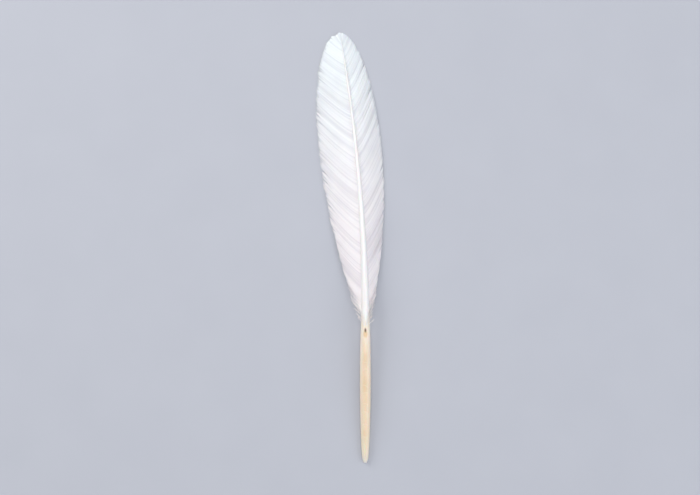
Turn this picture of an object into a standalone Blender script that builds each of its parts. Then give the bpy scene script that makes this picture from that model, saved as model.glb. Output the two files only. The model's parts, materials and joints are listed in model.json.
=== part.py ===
# Goose quill feather, lying upper side up on a flat surface.
# +Y runs from the end of the bare quill towards the tip, +X is the outer vane's side, +Z is up.
# The origin is the bottom centre of the whole feather's box, on the surface it lies on.

import math
import random

import bmesh
import bpy
from mathutils import Matrix, Vector

MM = 0.001

# Overall size. Places along the feather are measured from the end of the bare quill.
feather_length = 126 * MM
bare_quill_length = 40 * MM
rachis_end = 123.5 * MM

# How the shaft curves: sideways towards the inner vane, and up off the surface in a low arch.
tip_sweep = 7.5 * MM
end_height = 0.71 * MM
quill_rise = 0.075
bend_start = 25 * MM
bend_drop = 9.57 * MM
bend_power = 2.2

# The shaft's half width and half height at places along it. Both are smooth in between.
shaft_sections = [
    (0.0 * MM, 0.45 * MM, 0.42 * MM),
    (0.8 * MM, 0.82 * MM, 0.78 * MM),
    (4.0 * MM, 1.18 * MM, 1.14 * MM),
    (18.0 * MM, 1.60 * MM, 1.57 * MM),
    (33.0 * MM, 1.58 * MM, 1.58 * MM),
    (46.0 * MM, 1.20 * MM, 1.36 * MM),
    (85.0 * MM, 0.62 * MM, 0.74 * MM),
    (112.0 * MM, 0.30 * MM, 0.36 * MM),
    (123.5 * MM, 0.12 * MM, 0.15 * MM),
]
shaft_sides = 14
shaft_rings = 46
blunt_share = 0.15
groove_start = 38 * MM
groove_full = 52 * MM
groove_depth = 0.3
groove_sharpness = 12

# The vanes. A split is where barbs have come unhooked: the lock above it, how far out across
# the vane it starts, and how wide it opens at the edge.
vanes = {
    "inner_vane": {
        "side": -1,
        "width": 11.1 * MM,
        "slope": 0.37,
        "seed": 3,
        "splits": [(2, 0.45, 0.6 * MM), (9, 0.60, 0.5 * MM), (22, 0.55, 0.6 * MM)],
    },
    "outer_vane": {
        "side": 1,
        "width": 7.7 * MM,
        "slope": 0.60,
        "seed": 5,
        "splits": [(12, 0.60, 0.5 * MM), (20, 0.60, 0.6 * MM)],
    },
}

# Outline of a vane: its width grows with one power of the place along it, and shrinks with another.
outline_rise = 0.80
outline_fall = 0.50
vane_thickness = 0.35 * MM
shaft_gap = 0.3 * MM
tip_half_gap = 0.16 * MM
shaft_fades = 0.96
least_width = 0.55 * MM
tip_least_width = 0.18 * MM

# Where the barbs run: they leave the shaft, and curve towards the tip as they reach the edge.
first_barb_tip = 2.2 * MM
barb_forward = 0.42
barb_curve = 1.25

# Locks, the bundles of barbs, each a little higher at its tipward side than the next one's start.
locks_per_vane = 28
columns_per_lock = 3
rows_across = 8
lock_relief = 0.16 * MM
relief_level = 0.4
relief_full_width = 3 * MM
lock_notch = 0.035
lock_scatter = 0.018
split_reach = 1.6
split_power = 1.2

# How the vanes curve down to the surface: their inner edges sit below the shaft's centre.
seat_depth = 0.30
camber_power = 1.6
touch_softness = 0.3 * MM
touch_depth = 0.05 * MM


def clear_scene():
    for obj in list(bpy.data.objects):
        bpy.data.objects.remove(obj, do_unlink=True)


def lerp(a, b, t):
    return a + (b - a) * t


def ease(t):
    """Smooth step from 0 to 1."""
    t = min(1.0, max(0.0, t))
    return t * t * (3 - 2 * t)


def vane_share(y):
    """Share of the vanes' length at y: 0 where they start and 1 at the feather's tip."""
    share = (y - bare_quill_length) / (feather_length - bare_quill_length)
    return min(1.0, max(0.0, share))


def shaft_centre(y):
    bent = max(0.0, (y - bend_start) / (feather_length - bend_start))
    height = end_height + quill_rise * y - bend_drop * bent**bend_power
    return Vector((-tip_sweep * vane_share(y) ** 2, y, height))


def shaft_frame(y):
    """Centre of the shaft at y, and the directions sideways (towards +X) and up across it."""
    step = 0.5 * MM
    along = (shaft_centre(y + step) - shaft_centre(y - step)).normalized()
    sideways = Vector((along.y, -along.x, 0)).normalized()
    return shaft_centre(y), sideways, sideways.cross(along)


def shaft_half_size(y):
    """Half width and half height at y, on cubic curves through shaft_sections."""
    last = len(shaft_sections) - 2
    i = next((k for k in range(last) if y <= shaft_sections[k + 1][0]), last)
    start, end = shaft_sections[i], shaft_sections[i + 1]
    before = shaft_sections[max(0, i - 1)]
    after = shaft_sections[min(last + 1, i + 2)]
    span = end[0] - start[0]
    t = min(1.0, max(0.0, (y - start[0]) / span))
    sizes = []
    for k in (1, 2):
        slope_in = (end[k] - before[k]) / (end[0] - before[0]) * span
        slope_out = (after[k] - start[k]) / (after[0] - start[0]) * span
        sizes.append(
            lerp(start[k], end[k], ease(t))
            + (t**3 - 2 * t**2 + t) * slope_in
            + (t**3 - t**2) * slope_out
        )
    return sizes


def vane_width(vane, y):
    """Distance from the shaft's centre to the vane's edge at y."""
    share = vane_share(y)
    peak = outline_rise / (outline_rise + outline_fall)
    widest = peak**outline_rise * (1 - peak) ** outline_fall
    return vane["width"] * share**outline_rise * (1 - share) ** outline_fall / widest


def vane_height(vane, y, reach):
    """Height of the vane's upper face at y, at the distance reach from the shaft's centre."""
    width = max(vane_width(vane, y), reach)
    seat = shaft_centre(y).z - seat_depth * shaft_half_size(y)[1]
    free = seat - vane["slope"] * width - vane_thickness
    edge = vane_thickness - touch_depth + 0.5 * (free + math.hypot(free, touch_softness))
    return seat - (seat - edge) * (reach / width) ** camber_power


def split_shift(vane, lock, phase, v):
    """How far a barb is pushed along the feather beside a split."""
    shift = 0.0
    for split_lock, start, opening in vane["splits"]:
        away = abs(lock + phase - split_lock)
        near = max(0.0, 1 - away / split_reach)
        parted = max(0.0, (v - start) / (1 - start))
        direction = 1 if lock >= split_lock else -1
        shift += direction * 0.5 * opening * near * parted**split_power
    return shift


def vane_point(vane, scatter, lock, phase, v):
    """Point on the vane's upper face: phase is the place within a lock, and v how far out it is."""
    u = (lock + phase) / locks_per_vane
    at_notch = phase in (0, 1)
    root = lerp(bare_quill_length + shaft_gap, rachis_end, u)
    tip_share = u + barb_forward * u * (1 - u)
    tip = lerp(bare_quill_length + first_barb_tip, feather_length, tip_share)

    # Past the end of the shaft the two vanes nearly meet.
    beside_shaft = shaft_half_size(root)[0] + shaft_gap
    past_shaft = ease((u - shaft_fades) / (1 - shaft_fades))
    inside = lerp(beside_shaft, tip_half_gap, past_shaft)
    ragged = 1 + scatter[lock] * math.sin(math.pi * phase) - (lock_notch if at_notch else 0)
    thinnest = lerp(least_width, tip_least_width, past_shaft)
    outside = max(inside + thinnest, vane_width(vane, tip) * ragged)
    reach = lerp(inside, outside, v)

    y = lerp(root, tip, v**barb_curve) + split_shift(vane, lock, phase, v)
    y = min(y, feather_length)
    relief = lock_relief * (phase - relief_level) * ease(2 * v)
    relief *= min(1.0, outside / relief_full_width)
    centre, sideways, _ = shaft_frame(y)
    point = centre + sideways * (vane["side"] * reach)
    point.z = max(vane_thickness, vane_height(vane, y, reach) + relief)
    return point


def material(name, colour, roughness, sheen=0.0):
    mat = bpy.data.materials.new(name)
    mat.use_nodes = True
    shader = mat.node_tree.nodes["Principled BSDF"]
    shader.inputs["Base Color"].default_value = (*colour, 1)
    shader.inputs["Roughness"].default_value = roughness
    shader.inputs["Sheen Weight"].default_value = sheen
    return mat


def add_object(name, bm, mat, collection, parent):
    mesh = bpy.data.meshes.new(name)
    bm.to_mesh(mesh)
    bm.free()
    mesh.shade_smooth()
    mesh.materials.append(mat)
    obj = bpy.data.objects.new(name, mesh)
    collection.objects.link(obj)
    obj.parent = parent
    return obj


def add_quill(collection, parent):
    """Bare quill and rachis in one: a long cylinder whose rings follow the shaft."""
    bm = bmesh.new()
    half_step = Matrix.Rotation(math.pi / shaft_sides, 4, "Z")
    bmesh.ops.create_cone(
        bm, cap_ends=True, segments=shaft_sides, radius1=1, radius2=1, depth=1, matrix=half_step
    )
    lengthwise = [e for e in bm.edges if abs(e.verts[0].co.z - e.verts[1].co.z) > 0.5]
    bmesh.ops.subdivide_edges(bm, edges=lengthwise, cuts=shaft_rings)
    for vert in bm.verts:
        share = max(0.0, vert.co.z + 0.5)
        # Rings stand closer together at the quill's blunt end.
        y = rachis_end * share * math.sqrt(min(1.0, share / blunt_share))
        angle = math.atan2(vert.co.y, vert.co.x)
        half_width, half_height = shaft_half_size(y)
        groove = groove_depth * ease((y - groove_start) / (groove_full - groove_start))
        underside = max(0.0, -math.sin(angle)) ** groove_sharpness
        centre, sideways, up = shaft_frame(y)
        vert.co = (
            centre
            + sideways * (half_width * math.cos(angle))
            + up * (half_height * math.sin(angle) * (1 - groove * underside))
        )
        vert.co.z = max(0.0, vert.co.z)
    bmesh.ops.recalc_face_normals(bm, faces=bm.faces)
    horn = material("quill_horn", (0.86, 0.74, 0.52), 0.35)
    return add_object("quill", bm, horn, collection, parent)


def cut_slits(bm, vane, columns):
    """Opens the flat grid along each split, from where it starts out to the edge."""
    for lock, start, _ in vane["splits"]:
        at = lock / locks_per_vane
        slit = [
            e
            for e in bm.edges
            if all(abs(v.co.x - at) < 0.2 / columns for v in e.verts)
            and min(v.co.y for v in e.verts) > start - 0.5 / rows_across
        ]
        bmesh.ops.split_edges(bm, edges=slit)


def add_vane(name, collection, parent):
    """One vane: a flat grid with a column along each barb, bent to its place and thickened."""
    vane = vanes[name]
    draw = random.Random(vane["seed"])
    scatter = [draw.uniform(-lock_scatter, lock_scatter) for _ in range(locks_per_vane)]
    columns = locks_per_vane * columns_per_lock
    bm = bmesh.new()
    to_unit_square = Matrix.Translation((0.5, 0.5, 0))
    bmesh.ops.create_grid(
        bm, x_segments=columns, y_segments=rows_across, size=0.5, matrix=to_unit_square
    )
    cut_slits(bm, vane, columns)

    places = []
    for vert in bm.verts:
        lock, step = divmod(round(vert.co.x * columns), columns_per_lock)
        # A vertex with no faces on its tipward side ends the lock before it.
        ends_lock = all(f.calc_center_median().x < vert.co.x for f in vert.link_faces)
        if ends_lock and step == 0:
            lock, step = lock - 1, columns_per_lock
        phase = step / columns_per_lock
        places.append((vert, vane_point(vane, scatter, lock, phase, vert.co.y)))
    for vert, place in places:
        vert.co = place
    bmesh.ops.recalc_face_normals(bm, faces=bm.faces)
    if sum(f.normal.z for f in bm.faces) < 0:
        bmesh.ops.reverse_faces(bm, faces=bm.faces)

    white = material(name + "_barbs", (0.93, 0.93, 0.94), 0.6, sheen=0.3)
    obj = add_object(name, bm, white, collection, parent)
    thicken = obj.modifiers.new("thickness", "SOLIDIFY")
    thicken.thickness = vane_thickness
    thicken.offset = -1
    return obj


def centre_on_base(objects, parent):
    """Moves the parent, so that the origin is the bottom centre of the objects' box."""
    bpy.context.view_layer.update()
    graph = bpy.context.evaluated_depsgraph_get()
    corners = []
    for obj in objects:
        evaluated = obj.evaluated_get(graph)
        corners += [evaluated.matrix_world @ Vector(c) for c in evaluated.bound_box]
    x, y = ([c[k] for c in corners] for k in (0, 1))
    parent.location = (-(min(x) + max(x)) / 2, -(min(y) + max(y)) / 2, 0)


def main():
    clear_scene()
    collection = bpy.data.collections.new("goose_feather")
    bpy.context.scene.collection.children.link(collection)
    quill_end = bpy.data.objects.new("quill_end", None)
    collection.objects.link(quill_end)
    pieces = [add_quill(collection, quill_end)]
    pieces += [add_vane(name, collection, quill_end) for name in vanes]
    centre_on_base(pieces, quill_end)


main()
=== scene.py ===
import json
import math
import random

import bmesh
import bpy
import numpy as np
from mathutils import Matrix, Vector

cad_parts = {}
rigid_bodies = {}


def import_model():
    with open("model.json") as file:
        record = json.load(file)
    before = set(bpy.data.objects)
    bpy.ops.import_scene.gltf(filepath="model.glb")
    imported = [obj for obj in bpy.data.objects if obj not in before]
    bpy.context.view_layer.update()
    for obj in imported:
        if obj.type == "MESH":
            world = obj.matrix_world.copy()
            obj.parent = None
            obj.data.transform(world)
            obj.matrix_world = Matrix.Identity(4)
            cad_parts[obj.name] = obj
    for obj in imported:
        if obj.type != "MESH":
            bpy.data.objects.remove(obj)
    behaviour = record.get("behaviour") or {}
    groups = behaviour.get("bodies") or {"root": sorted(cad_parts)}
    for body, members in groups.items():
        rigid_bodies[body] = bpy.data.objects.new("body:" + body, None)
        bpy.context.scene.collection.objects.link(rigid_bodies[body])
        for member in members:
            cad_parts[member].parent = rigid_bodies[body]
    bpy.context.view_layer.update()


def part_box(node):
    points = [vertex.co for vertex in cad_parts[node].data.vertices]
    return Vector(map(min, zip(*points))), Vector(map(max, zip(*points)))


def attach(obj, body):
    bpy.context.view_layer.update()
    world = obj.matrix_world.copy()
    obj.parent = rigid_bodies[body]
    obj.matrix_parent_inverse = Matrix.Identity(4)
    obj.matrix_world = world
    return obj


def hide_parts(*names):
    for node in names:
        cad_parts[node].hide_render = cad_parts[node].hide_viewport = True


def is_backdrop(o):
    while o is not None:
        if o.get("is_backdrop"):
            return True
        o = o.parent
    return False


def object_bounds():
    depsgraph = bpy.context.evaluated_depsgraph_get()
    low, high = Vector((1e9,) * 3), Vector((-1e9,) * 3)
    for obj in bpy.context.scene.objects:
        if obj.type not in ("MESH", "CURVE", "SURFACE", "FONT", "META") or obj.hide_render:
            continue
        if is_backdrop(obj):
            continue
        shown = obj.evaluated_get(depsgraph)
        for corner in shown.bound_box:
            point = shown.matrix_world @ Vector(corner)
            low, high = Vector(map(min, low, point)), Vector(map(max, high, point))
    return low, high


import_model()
mm = 0.001

# The feather's course and outline. Places run along it from the quill's end.
feather = {
    "length": 126 * mm,
    "bareQuill": 40 * mm,
    "rachisEnd": 123.5 * mm,
    "tipSweep": 7.5 * mm,
    "endHeight": 0.71 * mm,
    "quillRise": 0.075,
    "bendStart": 25 * mm,
    "bendDrop": 9.57 * mm,
    "bendPower": 2.2,
    "widestHalf": 1.61 * mm,
    "sections": [  # place, half width, half height
        (0.0 * mm, 0.45 * mm, 0.42 * mm),
        (0.8 * mm, 0.82 * mm, 0.78 * mm),
        (4.0 * mm, 1.18 * mm, 1.14 * mm),
        (18.0 * mm, 1.60 * mm, 1.57 * mm),
        (33.0 * mm, 1.58 * mm, 1.58 * mm),
        (46.0 * mm, 1.20 * mm, 1.36 * mm),
        (85.0 * mm, 0.62 * mm, 0.74 * mm),
        (112.0 * mm, 0.30 * mm, 0.36 * mm),
        (123.5 * mm, 0.12 * mm, 0.15 * mm),
    ],
}
quillLow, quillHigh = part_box("quill")
quillEnd = Vector((quillHigh[0] - feather["widestHalf"], quillLow[1], 0))


def lerp(a, b, t):
    return a + (b - a) * t


def ease(t):
    t = np.clip(t, 0, 1)
    return t * t * (3 - 2 * t)


def vaneShare(y):
    share = (y - feather["bareQuill"]) / (feather["length"] - feather["bareQuill"])
    return np.clip(share, 0, 1)


def shaftCentre(y):
    y = np.asarray(y, float)
    bent = np.maximum(0, (y - feather["bendStart"]) / (feather["length"] - feather["bendStart"]))
    height = feather["endHeight"] + feather["quillRise"] * y
    height = height - feather["bendDrop"] * bent ** feather["bendPower"]
    return np.stack([-feather["tipSweep"] * vaneShare(y) ** 2, y, height], axis=-1)


def shaftSideways(y):
    step = 0.5 * mm
    along = shaftCentre(y + step) - shaftCentre(y - step)
    sideways = np.stack([along[..., 1], -along[..., 0], 0 * along[..., 0]], axis=-1)
    return sideways / np.linalg.norm(sideways, axis=-1, keepdims=True)


def shaftHalf(y):
    # half width and half height, on smooth curves through the sections
    y = np.asarray(y, float)
    places = np.array(feather["sections"])
    ahead = np.vstack([places[1:], places[-1:]])
    behind = np.vstack([places[:1], places[:-1]])
    slopes = (ahead[:, 1:] - behind[:, 1:]) / (ahead[:, :1] - behind[:, :1])
    i = np.clip(np.searchsorted(places[:, 0], y) - 1, 0, len(places) - 2)
    span = (places[i + 1, 0] - places[i, 0])[..., None]
    t = np.clip((y[..., None] - places[i, 0][..., None]) / span, 0, 1)
    both = lerp(places[i, 1:], places[i + 1, 1:], ease(t))
    both = both + (t**3 - 2 * t**2 + t) * slopes[i] * span + (t**3 - t**2) * slopes[i + 1] * span
    return both[..., 0], both[..., 1]


def selectOnly(obj):
    for other in bpy.context.scene.objects:
        other.select_set(False)
    if obj:
        obj.select_set(True)
        bpy.context.view_layer.objects.active = obj


def selectVerts(obj, wanted):
    # in edit mode, selects the points that wanted() says yes to
    bm = bmesh.from_edit_mesh(obj.data)
    bpy.ops.mesh.select_all(action="DESELECT")
    for vert in bm.verts:
        vert.select = bool(wanted(vert.co))
    bm.select_flush_mode()
    bmesh.update_edit_mesh(obj.data)


def setSockets(node, values):
    for name, value in values.items():
        node.inputs[name].default_value = value


def addNode(tree, kind, sockets=None, **settings):
    node = tree.nodes.new(kind)
    for name, value in settings.items():
        setattr(node, name, value)
    setSockets(node, sockets or {})
    return node


def plugIn(tree, value, socket):
    # a node's output is linked, and a plain number or colour is set on the socket
    if isinstance(value, bpy.types.NodeSocket):
        tree.links.new(value, socket)
    elif isinstance(value, tuple):
        socket.default_value = (*value, 1)
    else:
        socket.default_value = value


def calc(tree, operation, first, second=0.0):
    node = addNode(tree, "ShaderNodeMath", operation=operation)
    plugIn(tree, first, node.inputs[0])
    plugIn(tree, second, node.inputs[1])
    return node.outputs["Value"]


def fade(tree, source, low, high, toLow=0.0, toHigh=1.0):
    # runs softly from toLow to toHigh while source goes from low to high
    node = addNode(tree, "ShaderNodeMapRange", interpolation_type="SMOOTHSTEP")
    setSockets(node, {"From Min": low, "From Max": high, "To Min": toLow, "To Max": toHigh})
    plugIn(tree, source, node.inputs["Value"])
    return node.outputs["Result"]


def tint(tree, amount, first, second, blend="MIX"):
    node = addNode(tree, "ShaderNodeMix", data_type="RGBA", blend_type=blend)
    plugIn(tree, amount, node.inputs[0])
    plugIn(tree, first, node.inputs[6])
    plugIn(tree, second, node.inputs[7])
    return node.outputs[2]


def newMaterial(name, sockets):
    material = bpy.data.materials.new(name)
    material.use_nodes = True
    shader = material.node_tree.nodes["Principled BSDF"]
    setSockets(shader, sockets)
    return material, material.node_tree, shader


def objectPlace(tree):
    place = addNode(tree, "ShaderNodeTexCoord")
    parts = addNode(tree, "ShaderNodeSeparateXYZ")
    tree.links.new(place.outputs["Object"], parts.inputs[0])
    return place.outputs["Object"], parts


def addBump(tree, shader, height, strength, distance):
    bump = addNode(tree, "ShaderNodeBump", {"Strength": strength, "Distance": distance})
    tree.links.new(height, bump.inputs["Height"])
    tree.links.new(bump.outputs["Normal"], shader.inputs["Normal"])


def makeFibres():
    # streaks that run lengthwise and cloudy patches, for the horn and the barbs
    group = bpy.data.node_groups.new("lengthwiseFibres", "ShaderNodeTree")
    for name, kind in (("Vector", "Vector"), ("Scale", "Float"), ("Stretch", "Float")):
        group.interface.new_socket(name=name, in_out="INPUT", socket_type="NodeSocket" + kind)
    for name in ("Streaks", "Patches"):
        group.interface.new_socket(name=name, in_out="OUTPUT", socket_type="NodeSocketFloat")
    given = group.nodes.new("NodeGroupInput")
    result = group.nodes.new("NodeGroupOutput")
    stretch = addNode(group, "ShaderNodeCombineXYZ", {"X": 1.0, "Z": 1.0})
    group.links.new(given.outputs["Stretch"], stretch.inputs["Y"])
    longer = addNode(group, "ShaderNodeVectorMath", operation="MULTIPLY")
    group.links.new(given.outputs["Vector"], longer.inputs[0])
    group.links.new(stretch.outputs[0], longer.inputs[1])
    streaks = addNode(group, "ShaderNodeTexNoise", {"Detail": 3.0, "Roughness": 0.6})
    group.links.new(longer.outputs[0], streaks.inputs["Vector"])
    group.links.new(given.outputs["Scale"], streaks.inputs["Scale"])
    patches = addNode(group, "ShaderNodeTexNoise", {"Scale": 170.0, "Detail": 2.0})
    group.links.new(given.outputs["Vector"], patches.inputs["Vector"])
    group.links.new(streaks.outputs[0], result.inputs["Streaks"])
    group.links.new(patches.outputs[0], result.inputs["Patches"])
    return group


def placeFibres(tree, group, place, scale, stretch):
    node = addNode(tree, "ShaderNodeGroup", node_tree=group)
    setSockets(node, {"Scale": scale, "Stretch": stretch})
    tree.links.new(place, node.inputs["Vector"])
    return node.outputs["Streaks"], node.outputs["Patches"]


fibres = makeFibres()
noiseRange = (0.3, 0.7)  # most of a noise's values lie between these

# The bare quill and the rachis are one shaft, drawn ring by ring from the quill's end to the tip.
shaft = {
    "sides": 16,
    "ringGap": 2.6 * mm,
    "endGaps": [0.25 * mm, 0.55 * mm, 1.2 * mm, 2.2 * mm, 3.6 * mm],  # closer rings at the blunt end
    "tipRun": 1.6 * mm,
    "tipShrink": 0.4,
    "holeSteps": [(0.62, -0.07 * mm), (0.8, 0.56 * mm), (0.5, 0.91 * mm)],  # shrink, way inwards
    "grooveDepth": 0.3,
    "grooveStart": 38 * mm,
    "grooveFull": 52 * mm,
    "corner": 0.09,  # how much squarer the rachis is than an ellipse
    "cornerFrom": 0.2,  # what lies further out than this share of the half size is a corner
    "bottomTo": 0.1,  # what lies nearer to the middle than this is the bottom
    "smoothing": 2,
}
horn = {
    "along": [  # share of the feather's length from the quill's end, colour
        (0.00, (0.80, 0.76, 0.68)),
        (0.02, (0.82, 0.74, 0.60)),
        (0.07, (0.86, 0.74, 0.57)),
        (0.18, (0.87, 0.74, 0.575)),
        (0.27, (0.88, 0.775, 0.645)),
        (0.34, (0.88, 0.81, 0.71)),
        (0.45, (0.88, 0.86, 0.82)),
        (1.00, (0.90, 0.90, 0.91)),
    ],
    "core": (0.70, 0.50, 0.28),  # the golden middle of the bare quill
    "coreAcross": (0.25 * mm, 1.35 * mm),  # it fades between these, away from the axis
    "coreComes": (1 * mm, 9 * mm),
    "coreGoes": (30 * mm, 44 * mm),
    "coreShow": (0.25, 0.6),
    "membrane": (0.93, 0.86, 0.74),  # dried caps inside the quill that show through it
    "membraneGap": 3.4 * mm,
    "membraneDrift": 9 * mm,
    "membraneDome": 1.2 * mm,
    "membraneHalf": 1.5 * mm,
    "membraneSoftness": 0.45 * mm,
    "membraneShow": 0.22,
    "white": (0.85, 0.845, 0.855),  # the rachis, white from the V where the vanes begin
    "whiteShow": 0.88,
    "vPlace": 40.6 * mm,
    "vSteepness": 3.4,
    "vSoftness": 1.6 * mm,
    "streak": (0.80, 0.745, 0.68),
    "streakRange": (0.38, 0.66),
    "streakShow": 0.3,
    "fibreScale": 2600.0,
    "fibreStretch": 0.035,
    "spot": (0.15, 0.085, 0.045),  # the small brown pit under the V
    "spotPlace": 38.9 * mm,
    "spotSize": (0.34 * mm, 0.72 * mm, 0.8 * mm),
    "spotRim": (0.25, 1.4),  # it fades between these shares of its size
    "spotDepth": 1.2,
    "stain": (0.72, 0.50, 0.26),  # the golden stain that runs down from the pit
    "stainPlace": 37.8 * mm,
    "stainSize": (0.62 * mm, 1.05 * mm, 1.2 * mm),
    "stainRim": (0.5, 1.4),
    "stainShow": 0.8,
    "spotLift": 1.35 * mm,  # the pit and the stain lie this far above the shaft's centre
    "roughness": (0.20, 0.34),
    "dullness": 0.25,  # how much rougher the white part and the pit are
    "gloss": (0.3, 0.05),  # of the bare quill, of the rachis
    "glossFades": 4 * mm,
    "bump": (0.3, 0.05 * mm),  # strength, depth
}


def ringPlaces():
    places = [0.0] + shaft["endGaps"]
    while places[-1] < feather["rachisEnd"] - shaft["ringGap"] * 1.5:
        places.append(places[-1] + shaft["ringGap"])
    return np.array(places + [feather["rachisEnd"], feather["rachisEnd"] + shaft["tipRun"]])


def makeShaft():
    places = ringPlaces()
    centres = shaftCentre(places) + np.array(quillEnd)
    wide, high = shaftHalf(places)
    wide[-1], high[-1] = wide[-2] * shaft["tipShrink"], high[-2] * shaft["tipShrink"]
    centres[:, 2] = np.maximum(centres[:, 2], high)  # it rests on the surface, not in it
    square = ease((places - shaft["grooveStart"]) / (shaft["grooveFull"] - shaft["grooveStart"]))
    selectOnly(None)
    upright = (math.pi / 2, 0, 0)
    bpy.ops.mesh.primitive_circle_add(
        vertices=shaft["sides"], radius=1, location=centres[0], rotation=upright
    )
    obj = bpy.context.object
    obj.name = obj.data.name = "quillShaft"
    bpy.ops.object.transform_apply(location=True, rotation=True, scale=True)
    bpy.ops.object.mode_set(mode="EDIT")
    bpy.ops.mesh.select_all(action="SELECT")
    bpy.ops.transform.resize(value=(wide[0], 1, high[0]), center_override=centres[0])
    for k in range(1, len(places)):
        move = {"value": centres[k] - centres[k - 1]}
        grow = (wide[k] / wide[k - 1], 1, high[k] / high[k - 1])
        bpy.ops.mesh.extrude_region_move(TRANSFORM_OT_translate=move)
        bpy.ops.transform.resize(value=grow, center_override=centres[k])
        if square[k] > square[k - 1]:
            squareRing(obj, centres[k], wide[k], high[k], square[k - 1], square[k])
    bpy.ops.mesh.merge(type="CENTER")
    hollowEnd(obj, centres[0])
    bpy.ops.object.mode_set(mode="OBJECT")
    smooth = obj.modifiers.new("smooth", "SUBSURF")
    smooth.levels = smooth.render_levels = shaft["smoothing"]
    bpy.ops.object.modifier_apply(modifier="smooth")
    bpy.ops.object.shade_smooth()
    return obj


def squareRing(obj, centre, wide, high, before, now):
    # pushes the newest ring's corners out and its underside in, for the squarer, grooved rachis
    def newest(co):
        return abs(co.y - centre[1]) < shaft["ringGap"] * 0.05

    def corner(co):
        away = min(abs(co.x - centre[0]) / wide, abs(co.z - centre[2]) / high)
        return away > shaft["cornerFrom"]

    def bottom(co):
        return abs(co.x - centre[0]) / wide < shaft["bottomTo"] and co.z < centre[2]

    push = (1 + shaft["corner"] * now) / (1 + shaft["corner"] * before)
    selectVerts(obj, lambda co: newest(co) and corner(co))
    bpy.ops.transform.resize(value=(push, 1, push), center_override=centre)
    selectVerts(obj, lambda co: newest(co) and bottom(co))
    bpy.ops.transform.translate(value=(0, 0, shaft["grooveDepth"] * (now - before) * high))
    selectVerts(obj, newest)


def hollowEnd(obj, centre):
    # the small hole in the quill's blunt end
    selectVerts(obj, lambda co: abs(co.y - centre[1]) < 0.01 * mm)
    for shrink, inwards in shaft["holeSteps"]:
        bpy.ops.mesh.extrude_region_move(TRANSFORM_OT_translate={"value": (0, inwards, 0)})
        bpy.ops.transform.resize(value=(shrink, 1, shrink), center_override=centre)
    bpy.ops.mesh.merge(type="CENTER")
    bpy.ops.mesh.select_all(action="SELECT")
    bpy.ops.mesh.normals_make_consistent(inside=False)


def lengthColours(tree, y):
    along = addNode(tree, "ShaderNodeMapRange")
    setSockets(along, {"From Min": quillEnd[1], "From Max": quillEnd[1] + feather["length"]})
    tree.links.new(y, along.inputs["Value"])
    ramp = addNode(tree, "ShaderNodeValToRGB")
    stops = ramp.color_ramp.elements
    while len(stops) < len(horn["along"]):
        stops.new(1.0)
    for stop, (share, colour) in zip(stops, horn["along"]):
        stop.position = share
        stop.color = (*colour, 1)
    tree.links.new(along.outputs["Result"], ramp.inputs["Fac"])
    return ramp.outputs["Color"]


def spotDistance(tree, place, station, size):
    # 1 on the rim of a spot on the shaft's top, less inside it
    middle = Vector(shaftCentre(station)) + quillEnd
    away = addNode(tree, "ShaderNodeVectorMath", operation="SUBTRACT")
    away.inputs[1].default_value = (middle.x, middle.y, middle.z + horn["spotLift"])
    tree.links.new(place, away.inputs[0])
    shaped = addNode(tree, "ShaderNodeVectorMath", operation="DIVIDE")
    shaped.inputs[1].default_value = size
    tree.links.new(away.outputs[0], shaped.inputs[0])
    distance = addNode(tree, "ShaderNodeVectorMath", operation="LENGTH")
    tree.links.new(shaped.outputs[0], distance.inputs[0])
    return distance.outputs["Value"]


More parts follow.
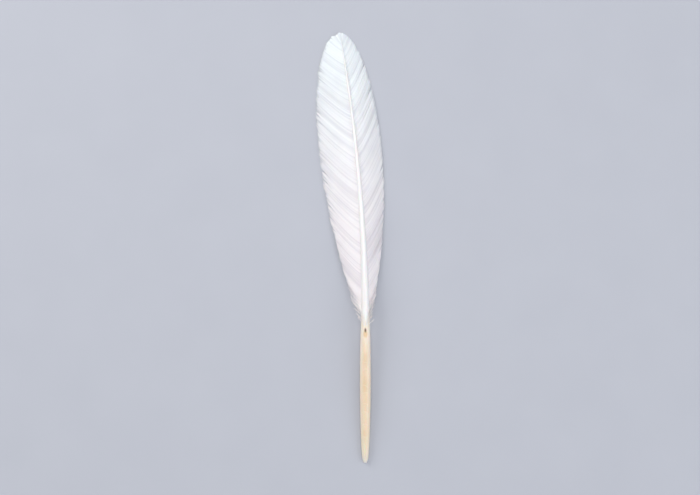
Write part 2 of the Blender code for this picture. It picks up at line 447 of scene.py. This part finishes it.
def makeQuillHorn():
    material, tree, shader = newMaterial(
        "quillHorn",
        {"Subsurface Weight": 0.22, "Subsurface Scale": 0.9 * mm, "Coat Roughness": 0.25},
    )
    place, parts = objectPlace(tree)
    x, y = parts.outputs["X"], parts.outputs["Y"]
    streaks, patches = placeFibres(tree, fibres, place, horn["fibreScale"], horn["fibreStretch"])
    end = quillEnd[1]
    offAxis = calc(tree, "ABSOLUTE", calc(tree, "SUBTRACT", x, quillEnd[0]))

    middle = fade(tree, offAxis, *horn["coreAcross"], 1.0, 0.0)
    comes = [end + along for along in horn["coreComes"]]
    goes = [end + along for along in horn["coreGoes"]]
    middle = calc(tree, "MULTIPLY", middle, fade(tree, y, *goes, 1.0, 0.0))
    middle = calc(tree, "MULTIPLY", middle, fade(tree, y, *comes))
    cloudy = fade(tree, patches, *noiseRange, *horn["coreShow"])
    colour = tint(tree, calc(tree, "MULTIPLY", middle, cloudy), lengthColours(tree, y), horn["core"])

    bend = calc(tree, "POWER", calc(tree, "DIVIDE", offAxis, horn["membraneHalf"]), 2.0)
    station = calc(tree, "ADD", y, calc(tree, "MULTIPLY", bend, horn["membraneDome"]))
    station = calc(tree, "ADD", station, calc(tree, "MULTIPLY", patches, horn["membraneDrift"]))
    caps = calc(tree, "PINGPONG", station, horn["membraneGap"] / 2)
    caps = fade(tree, caps, 0.0, horn["membraneSoftness"], horn["membraneShow"], 0.0)
    colour = tint(tree, calc(tree, "MULTIPLY", caps, middle), colour, horn["membrane"])

    apex = end + horn["vPlace"]
    past = calc(tree, "SUBTRACT", y, calc(tree, "MULTIPLY", offAxis, horn["vSteepness"]))
    white = fade(tree, past, apex, apex + horn["vSoftness"])
    colour = tint(tree, calc(tree, "MULTIPLY", white, horn["whiteShow"]), colour, horn["white"])
    streaky = fade(tree, streaks, *horn["streakRange"], 0.0, horn["streakShow"])
    colour = tint(tree, streaky, colour, horn["streak"], "MULTIPLY")

    stain = spotDistance(tree, place, horn["stainPlace"], horn["stainSize"])
    stain = fade(tree, stain, *horn["stainRim"], horn["stainShow"], 0.0)
    colour = tint(tree, stain, colour, horn["stain"])
    spot = spotDistance(tree, place, horn["spotPlace"], horn["spotSize"])
    spot = fade(tree, spot, *horn["spotRim"], 1.0, 0.0)
    tree.links.new(tint(tree, spot, colour, horn["spot"]), shader.inputs["Base Color"])

    dull = calc(tree, "MULTIPLY", calc(tree, "MAXIMUM", white, spot), horn["dullness"])
    rough = calc(tree, "ADD", fade(tree, streaks, *noiseRange, *horn["roughness"]), dull)
    tree.links.new(rough, shader.inputs["Roughness"])
    coat = fade(tree, y, apex, apex + horn["glossFades"], *horn["gloss"])
    coat = calc(tree, "MULTIPLY", coat, calc(tree, "SUBTRACT", 1.0, spot))
    tree.links.new(coat, shader.inputs["Coat Weight"])
    height = calc(tree, "SUBTRACT", streaks, calc(tree, "MULTIPLY", spot, horn["spotDepth"]))
    addBump(tree, shader, height, *horn["bump"])
    return material


quillShaft = makeShaft()
quillShaft.data.materials.append(makeQuillHorn())
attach(quillShaft, "root")
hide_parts("quill")
print("shaft done:", len(quillShaft.data.polygons), "faces")

# The two vanes are made of barbs side by side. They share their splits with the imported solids.
vanes = {
    "innerVane": {
        "node": "inner_vane",
        "side": -1,
        "width": 11.1 * mm,
        "slope": 0.37,
        "seed": 3,
        # lock, where it opens along the barb, how far
        "splits": [(2, 0.45, 0.6 * mm), (9, 0.60, 0.5 * mm), (22, 0.55, 0.6 * mm)],
        "fineSplits": 16,
        "fray": 0.014,
    },
    "outerVane": {
        "node": "outer_vane",
        "side": 1,
        "width": 7.7 * mm,
        "slope": 0.60,
        "seed": 5,
        "splits": [(12, 0.60, 0.5 * mm), (20, 0.60, 0.6 * mm)],
        "fineSplits": 9,
        "fray": 0.008,
    },
}
web = {
    "locks": 28,
    "outlineRise": 0.80,
    "outlineFall": 0.50,
    "thickness": 0.35 * mm,
    "intoShaft": 0.85,
    "shaftFades": 0.96,
    "tipHalfGap": -0.08 * mm,
    "tipCloses": 0.978,  # from here the barbs lean over the shaft's end
    "tipLean": 0.95,
    "leastWidth": 0.55 * mm,
    "tipLeastWidth": 0.18 * mm,
    "firstBarbTip": 2.2 * mm,
    "barbForward": 0.42,
    "barbCurve": 1.25,
    "lockRelief": 0.11 * mm,
    "reliefLevel": 0.4,
    "reliefFullWidth": 3 * mm,
    "lockNotch": 0.022,
    "lockScatter": 0.018,
    "splitReach": 1.6,
    "splitPower": 1.2,
    "fineSplitStart": (0.62, 0.90),  # where a fine split opens along the barb, from and to
    "fineSplitOpening": (0.12 * mm, 0.42 * mm),
    "fineSplitReach": (0.3, 0.8),  # how many locks give way beside it
    "seatDepth": 0.30,
    "camberPower": 1.6,
    "touchSoftness": 0.3 * mm,
    "touchDepth": 0.05 * mm,
    "below": 0.17 * mm,  # the middle of the web under the solid's upper face
    "vRun": 8 * mm,  # over this run the barbs start on the shaft's top and draw the V
    "vWidth": 0.10,
    "drapeBend": 0.55,
    "drapeClear": 0.05 * mm,
    "drapeSlope": 0.9,
    "lowest": 0.03 * mm,
}
barb = {
    "perLock": 8,
    "steps": 26,
    "spread": 1.25,  # packs the steps closer towards the tip
    "webShare": 1.35,  # each barb's web reaches a little over its neighbours
    "freeShare": 0.34,
    "freeFrom": 0.93,
    "ridgeWidth": 0.22,
    "ridgeUp": 0.045 * mm,
    "ridgeDown": 0.085 * mm,
    "tipThickness": 0.35,
    "shingle": 0.020 * mm,
    "unevenHeight": 0.020 * mm,
    "unevenMix": (0.6, 1.2),  # how much of it a barb has alone, and with its neighbours
    "unevenFrom": 3,  # the higher, the nearer to the shaft the barbs get uneven
    "unevenTilt": 0.013 * mm,
    "unevenPush": 0.12 * mm,
    "pushPower": 4,
    "unevenFree": (0.05, 0.3),  # how much sooner barbs come free, mostly and at most
    "tone": (0.5, 0.16, 0.30),  # the middle one, a barb's own part, its neighbours' part
    "waves": 0.07 * mm,
    "waveCount": 41,
    "waveDrift": 2.5,
}
down = {
    "fullTo": 0.03,  # shares of the vane's length where the barbs hang loose
    "looseTo": 0.115,
    "looseFrom": 2.2,  # the higher, the nearer to the shaft a barb gets loose
    "webLoss": 0.9,
    "thinner": 0.45,
    "sway": 0.55 * mm,
    "swayPower": 1.5,
    "swayRange": (-1.4, 0.7),
    "swingRange": (-0.3, 1.1),
    "lift": 0.22 * mm,
    "liftWaves": 5,
    "hairGap": 0.12 * mm,
    "hairLength": 0.62 * mm,
    "hairLengths": (0.5, 1.1),  # shares of hairLength
    "hairThick": 0.011 * mm,
    "hairPlaces": (0.25, 0.98),  # where along a barb the hairs begin and end
    "hairForward": (0.45, 0.9),
    "hairScatter": 0.35,
    "hairTone": 0.7,
    "hairLeast": 0.25,  # barbs less loose than this have no hairs
}
barbWhite = {
    "bright": [(0.93, 0.855, 0.865), (0.865, 0.875, 0.885)],  # at the vane's base, at its tip
    # the dim tones are cool and lavender: a barb's own darker tone, and the painted shade between
    # the ridges
    "dim": [(0.785, 0.715, 0.745), (0.725, 0.73, 0.765)],
    "coolFrom": 22 * mm,  # the tones start to turn to the tip's this far up the vane
    "cream": (0.88, 0.83, 0.74),
    "creamTo": 12 * mm,  # the barbs are creamier over this run from the vane's base
    "creamShow": 0.55,
    "fibreScale": 900.0,
    "patchShow": 0.5,
    "webPaintedShade": 0.22,  # painted shade: the webs are painted darker than the ridges, for the shade between the barbs
    "lightRange": (0.25, 1.05),  # where the tone turns from dim to bright
    "roughness": (0.52, 0.72),
    "barbuleGap": 0.12 * mm,
    "barbuleSlant": 0.16 * mm,
    "barbuleBump": (0.5, 0.006 * mm),  # strength, depth
}
flatLayout = {  # of the vanes' flat map, in shares of a barb's or hair's cell
    "barbsPerRow": 4,
    "hairsPerRow": 400,
    "barbBorder": 0.03,
    "hairBorder": 0.08,
    "rootMiddle": (0.015, 0.5),  # the small face that closes the barb's root
    "rootHalf": (0.0135, 0.45),
    "bladeStart": 0.04,
}


def vaneWidth(vane, y):
    share = vaneShare(y)
    rise, fall = web["outlineRise"], web["outlineFall"]
    peak = rise / (rise + fall)
    return vane["width"] * share**rise * (1 - share) ** fall / (peak**rise * (1 - peak) ** fall)


def splitShift(splits, place, barbPlace, v):
    # how far the barbs beside a split are pushed along the feather
    shift = 0
    for at, start, opening, reach in splits:
        near = np.maximum(0, 1 - np.abs(place - at) / reach)
        parted = np.maximum(0, (v - start) / (1 - start)) ** web["splitPower"]
        shift = shift + np.where(barbPlace >= at, 0.5, -0.5) * opening * near * parted
    return shift


def webHeight(vane, y, reach, relief, nearV):
    centre = shaftCentre(y)[..., 2]
    wide, high = shaftHalf(y)
    width = np.maximum(vaneWidth(vane, y), reach)
    seat = centre - web["seatDepth"] * high
    free = seat - vane["slope"] * width - web["thickness"]
    edge = web["thickness"] - web["touchDepth"] + 0.5 * (free + np.hypot(free, web["touchSoftness"]))
    height = seat - (seat - edge) * (np.abs(reach) / width) ** web["camberPower"]
    height = np.maximum(web["thickness"], height + relief) - web["below"]
    # near the V the barbs spring from the shaft's top and drape over its side
    over = np.minimum(1, reach / wide)
    drape = centre + high * (1 - web["drapeBend"] * over**2) + web["drapeClear"]
    drape = drape - web["drapeSlope"] * np.maximum(0, reach - wide)
    return lerp(height, np.maximum(height, drape), ease(2 * nearV))


def webPoints(vane, u, v, middle):
    # u runs along the vane, v out along the barb, and middle is the u of each point's own barb
    lock = np.minimum(np.floor(middle * web["locks"]), web["locks"] - 1).astype(int)
    phase = np.clip(u * web["locks"] - lock, 0, 1)
    root = lerp(feather["bareQuill"], feather["rachisEnd"], u)
    tipShare = u + web["barbForward"] * u * (1 - u)
    tip = lerp(feather["bareQuill"] + web["firstBarbTip"], feather["length"], tipShare)
    past = ease((u - web["shaftFades"]) / (1 - web["shaftFades"]))
    nearV = 1 - ease((root - feather["bareQuill"]) / web["vRun"])
    half = shaftHalf(root)[0]
    beside = lerp(half * web["intoShaft"], half * web["vWidth"], nearV)
    inside = lerp(beside, web["tipHalfGap"], past)
    ragged = 1 + vane["scatter"][lock] * np.sin(math.pi * phase)
    ragged = ragged - web["lockNotch"] * np.maximum(0, 1 - 3 * np.minimum(phase, 1 - phase))
    least = lerp(half, 0, past) + lerp(web["leastWidth"], web["tipLeastWidth"], past)
    outside = np.maximum(least, vaneWidth(vane, tip) * ragged)
    lean = web["tipLean"] * np.clip((u - web["tipCloses"]) / (1 - web["tipCloses"]), 0, 1)
    reach = lerp(inside, outside * (1 - lean), v)
    y = lerp(root, tip, v ** web["barbCurve"])
    y = y + splitShift(vane["allSplits"], u * web["locks"], middle * web["locks"], v)
    y = np.minimum(y, feather["length"])
    relief = web["lockRelief"] * (phase - web["reliefLevel"]) * ease(2 * v)
    relief = relief * np.minimum(1, outside / web["reliefFullWidth"])
    points = shaftCentre(y) + shaftSideways(y) * (vane["side"] * reach)[..., None]
    points[..., 2] = webHeight(vane, y, reach, relief, nearV)
    return points + np.array(quillEnd)


def webNormals(vane, u, v, middle):
    du, dv = 0.15 / vane["count"], 0.01
    after = webPoints(vane, np.clip(u + du, 0, 1), v, middle)
    before = webPoints(vane, np.clip(u - du, 0, 1), v, middle)
    further = webPoints(vane, u, np.minimum(v + dv, 1), middle)
    nearer = webPoints(vane, u, np.maximum(v - dv, 0), middle)
    normals = np.cross(after - before, further - nearer)
    return unit(normals * np.sign(normals[..., 2:]))


def unit(vectors):
    return vectors / np.maximum(np.linalg.norm(vectors, axis=-1, keepdims=True), 1e-12)


def looseness(u):
    return 1 - ease((u - down["fullTo"]) / (down["looseTo"] - down["fullTo"]))


def layBarbs(vane, traits, middle, across, lift, v):
    # lays straight blades on the vane: across runs from -1 to 1, and lift is -1, 0 or 1
    loose = looseness(middle) * ease(down["looseFrom"] * v)
    taper = ease((v - traits["freeFrom"]) / (1 - traits["freeFrom"]))
    share = lerp(barb["webShare"], barb["freeShare"], np.maximum(taper, loose * down["webLoss"]))
    u = np.clip(middle + across * share * 0.5 / vane["count"], 0, 1)
    thin = lerp(1, barb["tipThickness"], v) * lerp(1, down["thinner"], loose)
    rise = np.where(lift > 0, barb["ridgeUp"], barb["ridgeDown"]) * lift * thin
    rise = rise + across * (barb["shingle"] + traits["tilt"]) * (1 - taper)
    turns = middle * barb["waveCount"] + vane["seed"] + barb["waveDrift"] * v
    waves = np.sin(turns) * np.sin(math.pi * v)
    rise = rise + barb["waves"] * waves + traits["rise"] * ease(barb["unevenFrom"] * v)
    points = webPoints(vane, u, v, middle) + webNormals(vane, u, v, middle) * rise[..., None]
    freely = loose * v ** down["swayPower"]
    points[..., 0] += vane["side"] * traits["swing"] * freely * down["sway"]
    points[..., 1] += traits["sway"] * freely * down["sway"]
    points[..., 1] += traits["push"] * v ** barb["pushPower"]
    points[..., 2] += down["lift"] * freely * np.sin(traits["swayPhase"] + down["liftWaves"] * v)
    points[..., 2] = np.maximum(points[..., 2], web["lowest"])
    return points


def drawTraits(vane):
    # every uneven thing about a vane's barbs, drawn once
    plain = random.Random(vane["seed"])
    scatter = web["lockScatter"]
    vane["scatter"] = np.array([plain.uniform(-scatter, scatter) for _ in range(web["locks"])])
    vane["count"] = count = web["locks"] * barb["perLock"]
    chance = np.random.default_rng(vane["seed"])
    vane["allSplits"] = [split + (web["splitReach"],) for split in vane["splits"]]
    for _ in range(vane["fineSplits"]):
        at = chance.integers(2 * barb["perLock"], count) / barb["perLock"]
        start = chance.uniform(*web["fineSplitStart"])
        opening = chance.uniform(*web["fineSplitOpening"])
        vane["allSplits"].append((at, start, opening, chance.uniform(*web["fineSplitReach"])))
    column = (count, 1)
    steady = np.convolve(chance.normal(0, 1, count + 4), np.ones(5) / 5, mode="valid")[:, None]
    alone, shared = barb["unevenMix"]
    mostly, atMost = barb["unevenFree"]
    tone, ownTone, sharedTone = barb["tone"]
    return {
        "rise": (chance.normal(0, 1, column) * alone + steady * shared) * barb["unevenHeight"],
        "tilt": chance.normal(0, 1, column) * barb["unevenTilt"],
        "freeFrom": barb["freeFrom"] - np.minimum(atMost, np.abs(chance.normal(0, mostly, column))),
        "short": 1 - np.abs(chance.normal(0, vane["fray"], column)),
        "push": chance.normal(0, 1, column) * barb["unevenPush"],
        "sway": chance.uniform(*down["swayRange"], column),
        "swing": chance.uniform(*down["swingRange"], column),
        "swayPhase": chance.uniform(0, 2 * math.pi, column),
        "tone": np.clip(tone + ownTone * chance.normal(0, 1, column) + sharedTone * steady, 0, 1),
    }


def makeBlade():
    # one barb, a unit long: a thin web on both sides of a ridge, pointed at its free end
    selectOnly(None)
    upright = (math.pi / 2, math.pi / 6, 0)
    bpy.ops.mesh.primitive_circle_add(vertices=6, radius=1, fill_type="NGON", rotation=upright)
    obj = bpy.context.object
    bpy.ops.object.transform_apply(location=True, rotation=True, scale=True)
    bpy.ops.object.mode_set(mode="EDIT")
    selectVerts(obj, lambda co: abs(co.z) > 0.1)
    bpy.ops.transform.resize(value=(barb["ridgeWidth"] * 2, 1, 2 / math.sqrt(3)))
    bpy.ops.mesh.select_all(action="SELECT")
    for _ in range(barb["steps"]):
        move = {"value": (0, 1 / barb["steps"], 0)}
        bpy.ops.mesh.extrude_region_move(TRANSFORM_OT_translate=move)
    bpy.ops.mesh.merge(type="CENTER")
    bpy.ops.mesh.select_all(action="SELECT")
    bpy.ops.mesh.normals_make_consistent(inside=False)
    bpy.ops.object.mode_set(mode="OBJECT")
    mesh = obj.data
    points = np.array([vert.co for vert in mesh.vertices])
    faces = [list(face.vertices) for face in mesh.polygons]
    bpy.data.objects.remove(obj)
    bpy.data.meshes.remove(mesh)
    return {
        "points": points,
        "faces": faces,
        "flat": np.concatenate([flattenFace(points[face]) for face in faces]),
    }


def flattenFace(corners):
    # where a face of the blade lies on its flat map: along the barb, and round it
    if len(corners) == 6:
        middle, half = np.array(flatLayout["rootMiddle"]), np.array(flatLayout["rootHalf"])
        return middle + half * corners[:, [0, 2]]
    turn = (np.arctan2(corners[:, 2], corners[:, 0]) / (2 * math.pi)) % 1
    isTip = corners[:, 1] > 1 - 0.5 / barb["steps"]
    if np.ptp(turn[~isTip]) > 0.5:
        turn = np.where(turn < 0.25, turn + 1, turn)
    turn = np.where(isTip, 0.5 * (turn[~isTip].min() + turn[~isTip].max()), turn)
    return np.stack([lerp(flatLayout["bladeStart"], 1, corners[:, 1]), turn], axis=1)


def hairSpots(vane, chance):
    # places, sides and owners of the fine hairs on the loose barbs at the vane's base
    spots, sides, owners = [], [], []
    first, last = down["hairPlaces"]
    for i in range(vane["count"]):
        middle = np.array((i + 0.5) / vane["count"])
        if looseness(middle) < down["hairLeast"]:
            break
        root, tip = (webPoints(vane, middle, np.array(v), middle) for v in (0.1, 1.0))
        number = int(np.linalg.norm(tip - root) / down["hairGap"])
        for k in range(number):
            for side in (-1, 1):
                spots.append(lerp(first, last, (k + chance.uniform(0, 1)) / number))
                sides.append(side)
                owners.append(i)
    return np.array(spots)[:, None], np.array(sides)[:, None], np.array(owners)


def makeHairs(vane, traits):
    # each hair is a closed spike of four corners
    chance = np.random.default_rng(vane["seed"] + 100)
    spots, sides, owners = hairSpots(vane, chance)
    own = {key: values[owners] for key, values in traits.items()}
    middle = ((owners + 0.5) / vane["count"])[:, None]
    still = np.zeros_like(middle)
    at = layBarbs(vane, own, middle, still, still, spots)[:, 0]
    ahead = layBarbs(vane, own, middle, still, still, np.minimum(spots + 0.04, 1))[:, 0]
    along = unit(ahead - at)
    upwards = np.array([0, 0, 1.0])
    forward = chance.uniform(*down["hairForward"], sides.shape)
    direction = along * forward + np.cross(along, upwards) * sides
    direction = unit(direction + upwards * chance.normal(0, down["hairScatter"], sides.shape))
    length = down["hairLength"] * chance.uniform(*down["hairLengths"], sides.shape)
    length = length * looseness(middle) ** 0.5
    tips = at + direction * length
    tips[:, 2] = np.maximum(tips[:, 2], web["lowest"])
    thick = down["hairThick"]
    up = unit(np.cross(direction, along)) * thick
    behind = at - along * thick * 0.5
    corners = np.stack([at + along * thick, behind + up, behind - up, tips], axis=1)
    faces = [(0, 1, 2), (0, 3, 1), (1, 3, 2), (2, 3, 0)]
    faces = [[4 * k + j for j in face] for k in range(len(at)) for face in faces]
    return corners.reshape(-1, 3), faces


def makeVane(name, blade):
    vane = vanes[name]
    traits = drawTraits(vane)
    count, size = vane["count"], len(blade["points"])
    middle = ((np.arange(count) + 0.5) / count)[:, None]
    across, along = blade["points"][:, 0], np.clip(blade["points"][:, 1], 0, 1)
    lift = np.sign(np.round(blade["points"][:, 2], 3))
    v = (1 - (1 - along) ** barb["spread"]) * traits["short"]
    barbs = layBarbs(vane, traits, middle, across, lift, v)
    lengths = np.linalg.norm(barbs[:, -1] - barbs[:, 0], axis=1)[:, None]
    points = barbs.reshape(-1, 3)
    faces = [[k * size + j for j in face] for k in range(count) for face in blade["faces"]]
    hairs, hairFaces = makeHairs(vane, traits)
    faces += [[len(points) + j for j in face] for face in hairFaces]

    mesh = bpy.data.meshes.new(name + "Barbs")
    mesh.from_pydata(np.concatenate([points, hairs]).tolist(), [], faces)
    obj = bpy.data.objects.new(name + "Barbs", mesh)
    bpy.context.scene.collection.objects.link(obj)
    addValues(mesh, "tone", np.repeat(traits["tone"], size), down["hairTone"])
    addValues(mesh, "along", (lengths * along).ravel(), 0.0)
    addValues(mesh, "across", np.tile(across, count), 0.0)
    layFlat(mesh, blade, count)
    selectOnly(obj)
    bpy.ops.object.mode_set(mode="EDIT")
    bpy.ops.mesh.select_all(action="SELECT")
    bpy.ops.mesh.normals_make_consistent(inside=False)
    bpy.ops.object.mode_set(mode="OBJECT")
    bpy.ops.object.shade_smooth_by_angle(angle=math.radians(40))
    return obj


def addValues(mesh, name, values, hairValue):
    values = np.append(values, np.full(len(mesh.vertices) - len(values), hairValue))
    mesh.attributes.new(name, "FLOAT", "POINT").data.foreach_set("value", values)


def layFlat(mesh, blade, count):
    # lays every barb and every hair side by side on one flat map
    barbsPerRow, hairsPerRow = flatLayout["barbsPerRow"], flatLayout["hairsPerRow"]
    hairNet = [(0, 0.35), (0.5, 0), (1, 0.35)]
    for k in range(3):
        hairNet += [(k / 3, 0.4), (k / 3 + 1 / 6, 1), (k / 3 + 1 / 3, 0.4)]
    hairs = (len(mesh.loops) - count * len(blade["flat"])) // len(hairNet)
    barbRows = math.ceil(count / barbsPerRow)
    rows = barbRows + math.ceil(hairs / hairsPerRow)
    border = flatLayout["barbBorder"]
    barbPart = fillCells(lerp(border, 1 - border, blade["flat"]), count, barbsPerRow, 0, rows)
    border = flatLayout["hairBorder"]
    hairNet = lerp(border, 1 - border, np.array(hairNet))
    hairPart = fillCells(hairNet, hairs, hairsPerRow, barbRows, rows)
    flatMap = mesh.uv_layers.new(name="OFBake")
    flatMap.data.foreach_set("uv", np.concatenate([barbPart, hairPart]).ravel())


def fillCells(shape, number, perRow, firstRow, rows):
    k = np.arange(number)[:, None]
    x = (k % perRow + shape[:, 0]) / perRow
    y = (firstRow + k // perRow + shape[:, 1]) / rows
    return np.stack([x, y], axis=-1).reshape(-1, 2)


def makeBarbWhite():
    material, tree, shader = newMaterial(
        "barbWhite",
        {"Subsurface Weight": 0.12, "Subsurface Scale": 0.6 * mm, "Sheen Weight": 0.12},
    )
    place, parts = objectPlace(tree)
    streaks, patches = placeFibres(tree, fibres, place, barbWhite["fibreScale"], 1.0)
    tone, along, across = (
        addNode(tree, "ShaderNodeAttribute", attribute_name=name).outputs["Fac"]
        for name in ("tone", "along", "across")
    )
    offRidge = calc(tree, "ABSOLUTE", across)
    light = calc(tree, "ADD", tone, calc(tree, "MULTIPLY", patches, barbWhite["patchShow"]))
    # painted shade: the colour darkens away from each barb's ridge, for the shade between the ridges
    light = calc(tree, "SUBTRACT", light, calc(tree, "MULTIPLY", offRidge, barbWhite["webPaintedShade"]))
    y = parts.outputs["Y"]
    start, tip = quillEnd[1] + feather["bareQuill"], quillEnd[1] + feather["length"]
    towardsTip = fade(tree, y, start + barbWhite["coolFrom"], tip)
    dim = tint(tree, towardsTip, *barbWhite["dim"])
    bright = tint(tree, towardsTip, *barbWhite["bright"])
    colour = tint(tree, fade(tree, light, *barbWhite["lightRange"]), dim, bright)
    creamy = fade(tree, y, start, start + barbWhite["creamTo"], barbWhite["creamShow"], 0.0)
    tree.links.new(tint(tree, creamy, colour, barbWhite["cream"]), shader.inputs["Base Color"])
    rough = fade(tree, streaks, *noiseRange, *barbWhite["roughness"])
    tree.links.new(rough, shader.inputs["Roughness"])
    slanted = calc(tree, "MULTIPLY", offRidge, -barbWhite["barbuleSlant"])
    turns = 2 * math.pi / barbWhite["barbuleGap"]
    barbules = calc(tree, "MULTIPLY", calc(tree, "ADD", along, slanted), turns)
    addBump(tree, shader, calc(tree, "SINE", barbules), *barbWhite["barbuleBump"])
    return material


blade = makeBlade()
white = makeBarbWhite()
for name in vanes:
    piece = makeVane(name, blade)
    piece.data.materials.append(white)
    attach(piece, "root")
    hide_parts(vanes[name]["node"])
    print(name, "done:", len(piece.data.polygons), "faces")

# The surface it lies on, the lights and the camera.
studio = {
    "floor": ((0.45, 0.465, 0.52), (0.475, 0.49, 0.545)),
    "floorSize": 4,
    "lights": [  # name, place, size, power, colour
        ("key", (-0.45, 0.35, 0.38), 0.40, 2.25, (1.0, 0.985, 0.96)),
        ("fill", (0.55, -0.15, 0.45), 0.60, 1.8, (0.95, 0.97, 1.0)),
        ("top", (0.0, 0.10, 0.95), 0.50, 3.9, (1.0, 1.0, 1.0)),
    ],
    "sky": (0.92, 0.95, 1.0, 1.0),
    "skyStrength": 0.38,
    "lens": 100,
    "cameraHeight": 0.569,
}


def makeFloor():
    material, tree, shader = newMaterial("paleFloor", {"Roughness": 0.8})
    place, _ = objectPlace(tree)
    noise = addNode(tree, "ShaderNodeTexNoise", {"Scale": 60.0, "Detail": 2.0})
    tree.links.new(place, noise.inputs["Vector"])
    colour = tint(tree, noise.outputs[0], *studio["floor"])
    tree.links.new(colour, shader.inputs["Base Color"])
    bpy.ops.mesh.primitive_plane_add(size=studio["floorSize"])
    floor = bpy.context.object
    floor.name = "floor"
    floor.data.materials.append(material)
    floor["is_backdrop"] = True


def addLight(name, place, size, power, colour):
    light = bpy.data.lights.new(name, "AREA")
    light.size = size
    light.energy = power
    light.color = colour
    obj = bpy.data.objects.new(name, light)
    obj.location = place
    obj.rotation_euler = (-obj.location).to_track_quat("-Z", "Y").to_euler()
    bpy.context.scene.collection.objects.link(obj)


makeFloor()
for settings in studio["lights"]:
    addLight(*settings)
world = bpy.data.worlds.new("studio")
world.use_nodes = True
setSockets(
    world.node_tree.nodes["Background"],
    {"Color": studio["sky"], "Strength": studio["skyStrength"]},
)
bpy.context.scene.world = world
bpy.context.scene.view_settings.view_transform = "Standard"
print("floor and lights done")

lens = bpy.data.cameras.new("camera")
lens.lens = studio["lens"]
lens.clip_start = 0.01
camera = bpy.data.objects.new("camera", lens)
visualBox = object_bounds()
low, high = visualBox
camera.location = ((low[0] + high[0]) / 2, (low[1] + high[1]) / 2, studio["cameraHeight"])
bpy.context.scene.collection.objects.link(camera)
bpy.context.scene.camera = camera
print("camera done")
